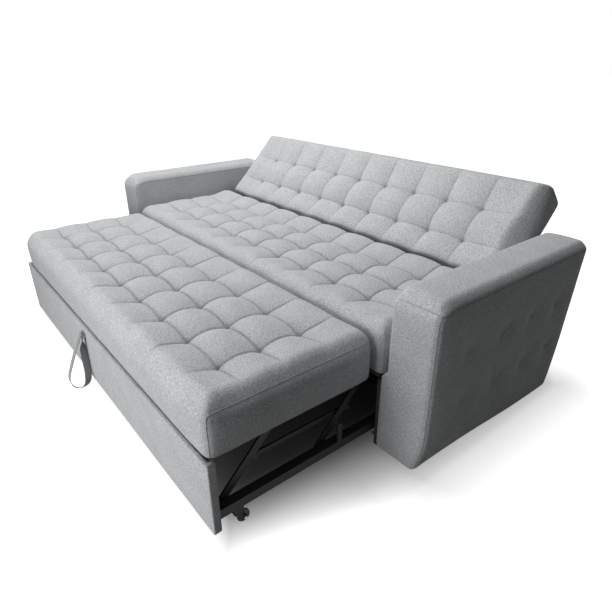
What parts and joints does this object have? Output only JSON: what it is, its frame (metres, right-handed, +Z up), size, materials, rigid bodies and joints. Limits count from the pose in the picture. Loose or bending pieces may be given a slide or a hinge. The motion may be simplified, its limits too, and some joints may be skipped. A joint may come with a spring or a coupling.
{
  "type": "sleeper sofa",
  "caption": "Sleeper sofa with box arms, tufted cushions, a reclining backrest and a pull-out bed on casters that lifts level with the seat.",
  "frame": {"origin": "on the floor, at the middle of the whole outline seen from above, with the bed pulled out and raised", "axes": "+X to the sofa's left-hand side as a person sits, which is the right of a front view; +Y from the front to the back; +Z up"},
  "size_m": [2.158, 1.6473, 0.7369],
  "materials": {
    "upholstery": "heathered mid-grey woven upholstery",
    "webbing": "dark satin ribbon webbing",
    "timber": "planed softwood, unfinished",
    "plywood": "plywood lined with black cloth",
    "black_steel": "black powder coat",
    "zinc_steel": "zinc plated",
    "black_plastic": "matt moulded",
    "caster_tread": "satin"
  },
  "bodies": {
    "base": {"arm_pad_left": "upholstery", "arm_pad_right": "upholstery", "arm_frame_left": "timber", "arm_frame_right": "timber", "glide_front_left": "black_plastic", "glide_front_right": "black_plastic", "glide_rear_left": "black_plastic", "glide_rear_right": "black_plastic", "side_board_left": "plywood", "side_board_right": "plywood", "rear_board": "plywood", "seat_front_rail": "plywood", "seat_deck": "plywood", "seat_cushion": "upholstery", "recline_plate_left": "zinc_steel", "recline_plate_right": "zinc_steel", "recline_pin_left": "zinc_steel", "recline_pin_right": "zinc_steel", "roller_track_left": "zinc_steel", "roller_track_right": "zinc_steel"},
    "backrest": {"back_cushion": "upholstery", "back_frame": "timber", "back_cover": "upholstery", "back_hinge_left": "zinc_steel", "back_hinge_right": "zinc_steel"},
    "carriage": {"front_panel_pad": "upholstery", "front_panel_board": "plywood", "carriage_rail_left": "black_steel", "carriage_rail_right": "black_steel", "carriage_cross_tube": "black_steel", "guide_post_left": "black_steel", "guide_post_right": "black_steel", "caster_post_left": "black_steel", "caster_post_right": "black_steel", "roller_bracket_left": "black_steel", "roller_bracket_right": "black_steel", "strap_patch": "webbing"},
    "front_links": {"lift_link_front_left": "black_steel", "lift_link_front_right": "black_steel", "lift_link_tube": "black_steel"},
    "rear_links": {"lift_link_rear_left": "black_steel", "lift_link_rear_right": "black_steel"},
    "tie_bars": {"tie_bar_left": "black_steel", "tie_bar_right": "black_steel"},
    "bed": {"deck_rail_left": "black_steel", "deck_rail_right": "black_steel", "bed_board": "plywood", "bed_cushion": "upholstery"},
    "caster_left": {"caster_fork_left": "black_steel", "caster_axle_left": "zinc_steel"},
    "caster_right": {"caster_fork_right": "black_steel", "caster_axle_right": "zinc_steel"},
    "wheel_left": {"caster_wheel_left": "caster_tread"},
    "wheel_right": {"caster_wheel_right": "caster_tread"},
    "roller_left": {"rear_roller_left": "black_plastic"},
    "roller_right": {"rear_roller_right": "black_plastic"},
    "strap": {"pull_strap": "webbing"}
  },
  "joints": [
    {"name": "backrest_recline", "type": "hinge", "parent": "base", "child": "backrest", "pos_m": [0, 0.45808, 0.41372], "axis": [1, 0, 0], "range_deg": [-45, 32]},
    {"name": "carriage_roll", "type": "slide", "parent": "base", "child": "carriage", "axis": [0, -1, 0], "range_m": [0, 0.103]},
    {"name": "bed_lift", "type": "hinge", "parent": "carriage", "child": "front_links", "pos_m": [0, -0.6872, 0.085], "axis": [-1, 0, 0], "range_deg": [0, 45]},
    {"name": "rear_link_turn", "type": "hinge", "parent": "carriage", "child": "rear_links", "pos_m": [0, -0.3462, 0.085], "axis": [-1, 0, 0], "range_deg": [0, 45]},
    {"name": "tie_bar_turn", "type": "hinge", "parent": "front_links", "child": "tie_bars", "pos_m": [0, -0.56558, 0.17551], "axis": [-1, 0, 0], "range_deg": [-45, 0]},
    {"name": "deck_turn", "type": "hinge", "parent": "front_links", "child": "bed", "pos_m": [0, -0.52315, 0.24905], "axis": [-1, 0, 0], "range_deg": [-45, 0]},
    {"name": "caster_swivel_left", "type": "hinge", "parent": "carriage", "child": "caster_left", "pos_m": [-0.849, -0.6472, 0.045], "axis": [0, 0, 1], "continuous": true},
    {"name": "caster_swivel_right", "type": "hinge", "parent": "carriage", "child": "caster_right", "pos_m": [0.849, -0.6472, 0.045], "axis": [0, 0, 1], "continuous": true},
    {"name": "wheel_spin_left", "type": "hinge", "parent": "caster_left", "child": "wheel_left", "pos_m": [-0.849, -0.6312, 0.02], "axis": [1, 0, 0], "continuous": true},
    {"name": "wheel_spin_right", "type": "hinge", "parent": "caster_right", "child": "wheel_right", "pos_m": [0.849, -0.6312, 0.02], "axis": [1, 0, 0], "continuous": true},
    {"name": "roller_spin_left", "type": "hinge", "parent": "carriage", "child": "roller_left", "pos_m": [-0.85, 0.0658, 0.05], "axis": [1, 0, 0], "continuous": true},
    {"name": "roller_spin_right", "type": "hinge", "parent": "carriage", "child": "roller_right", "pos_m": [0.85, 0.0658, 0.05], "axis": [1, 0, 0], "continuous": true},
    {"name": "strap_swing", "type": "hinge", "parent": "carriage", "child": "strap", "pos_m": [-0.042, -0.7408, 0.251], "axis": [-1, 0, 0], "range_deg": [0, 75]}
  ],
  "couplings": [
    {"joint": "rear_link_turn", "follows": "bed_lift", "ratio": 1},
    {"joint": "tie_bar_turn", "follows": "bed_lift", "ratio": -1},
    {"joint": "deck_turn", "follows": "bed_lift", "ratio": -1},
    {"joint": "carriage_roll", "follows": "bed_lift", "m_per_rad": 0.13}
  ]
}
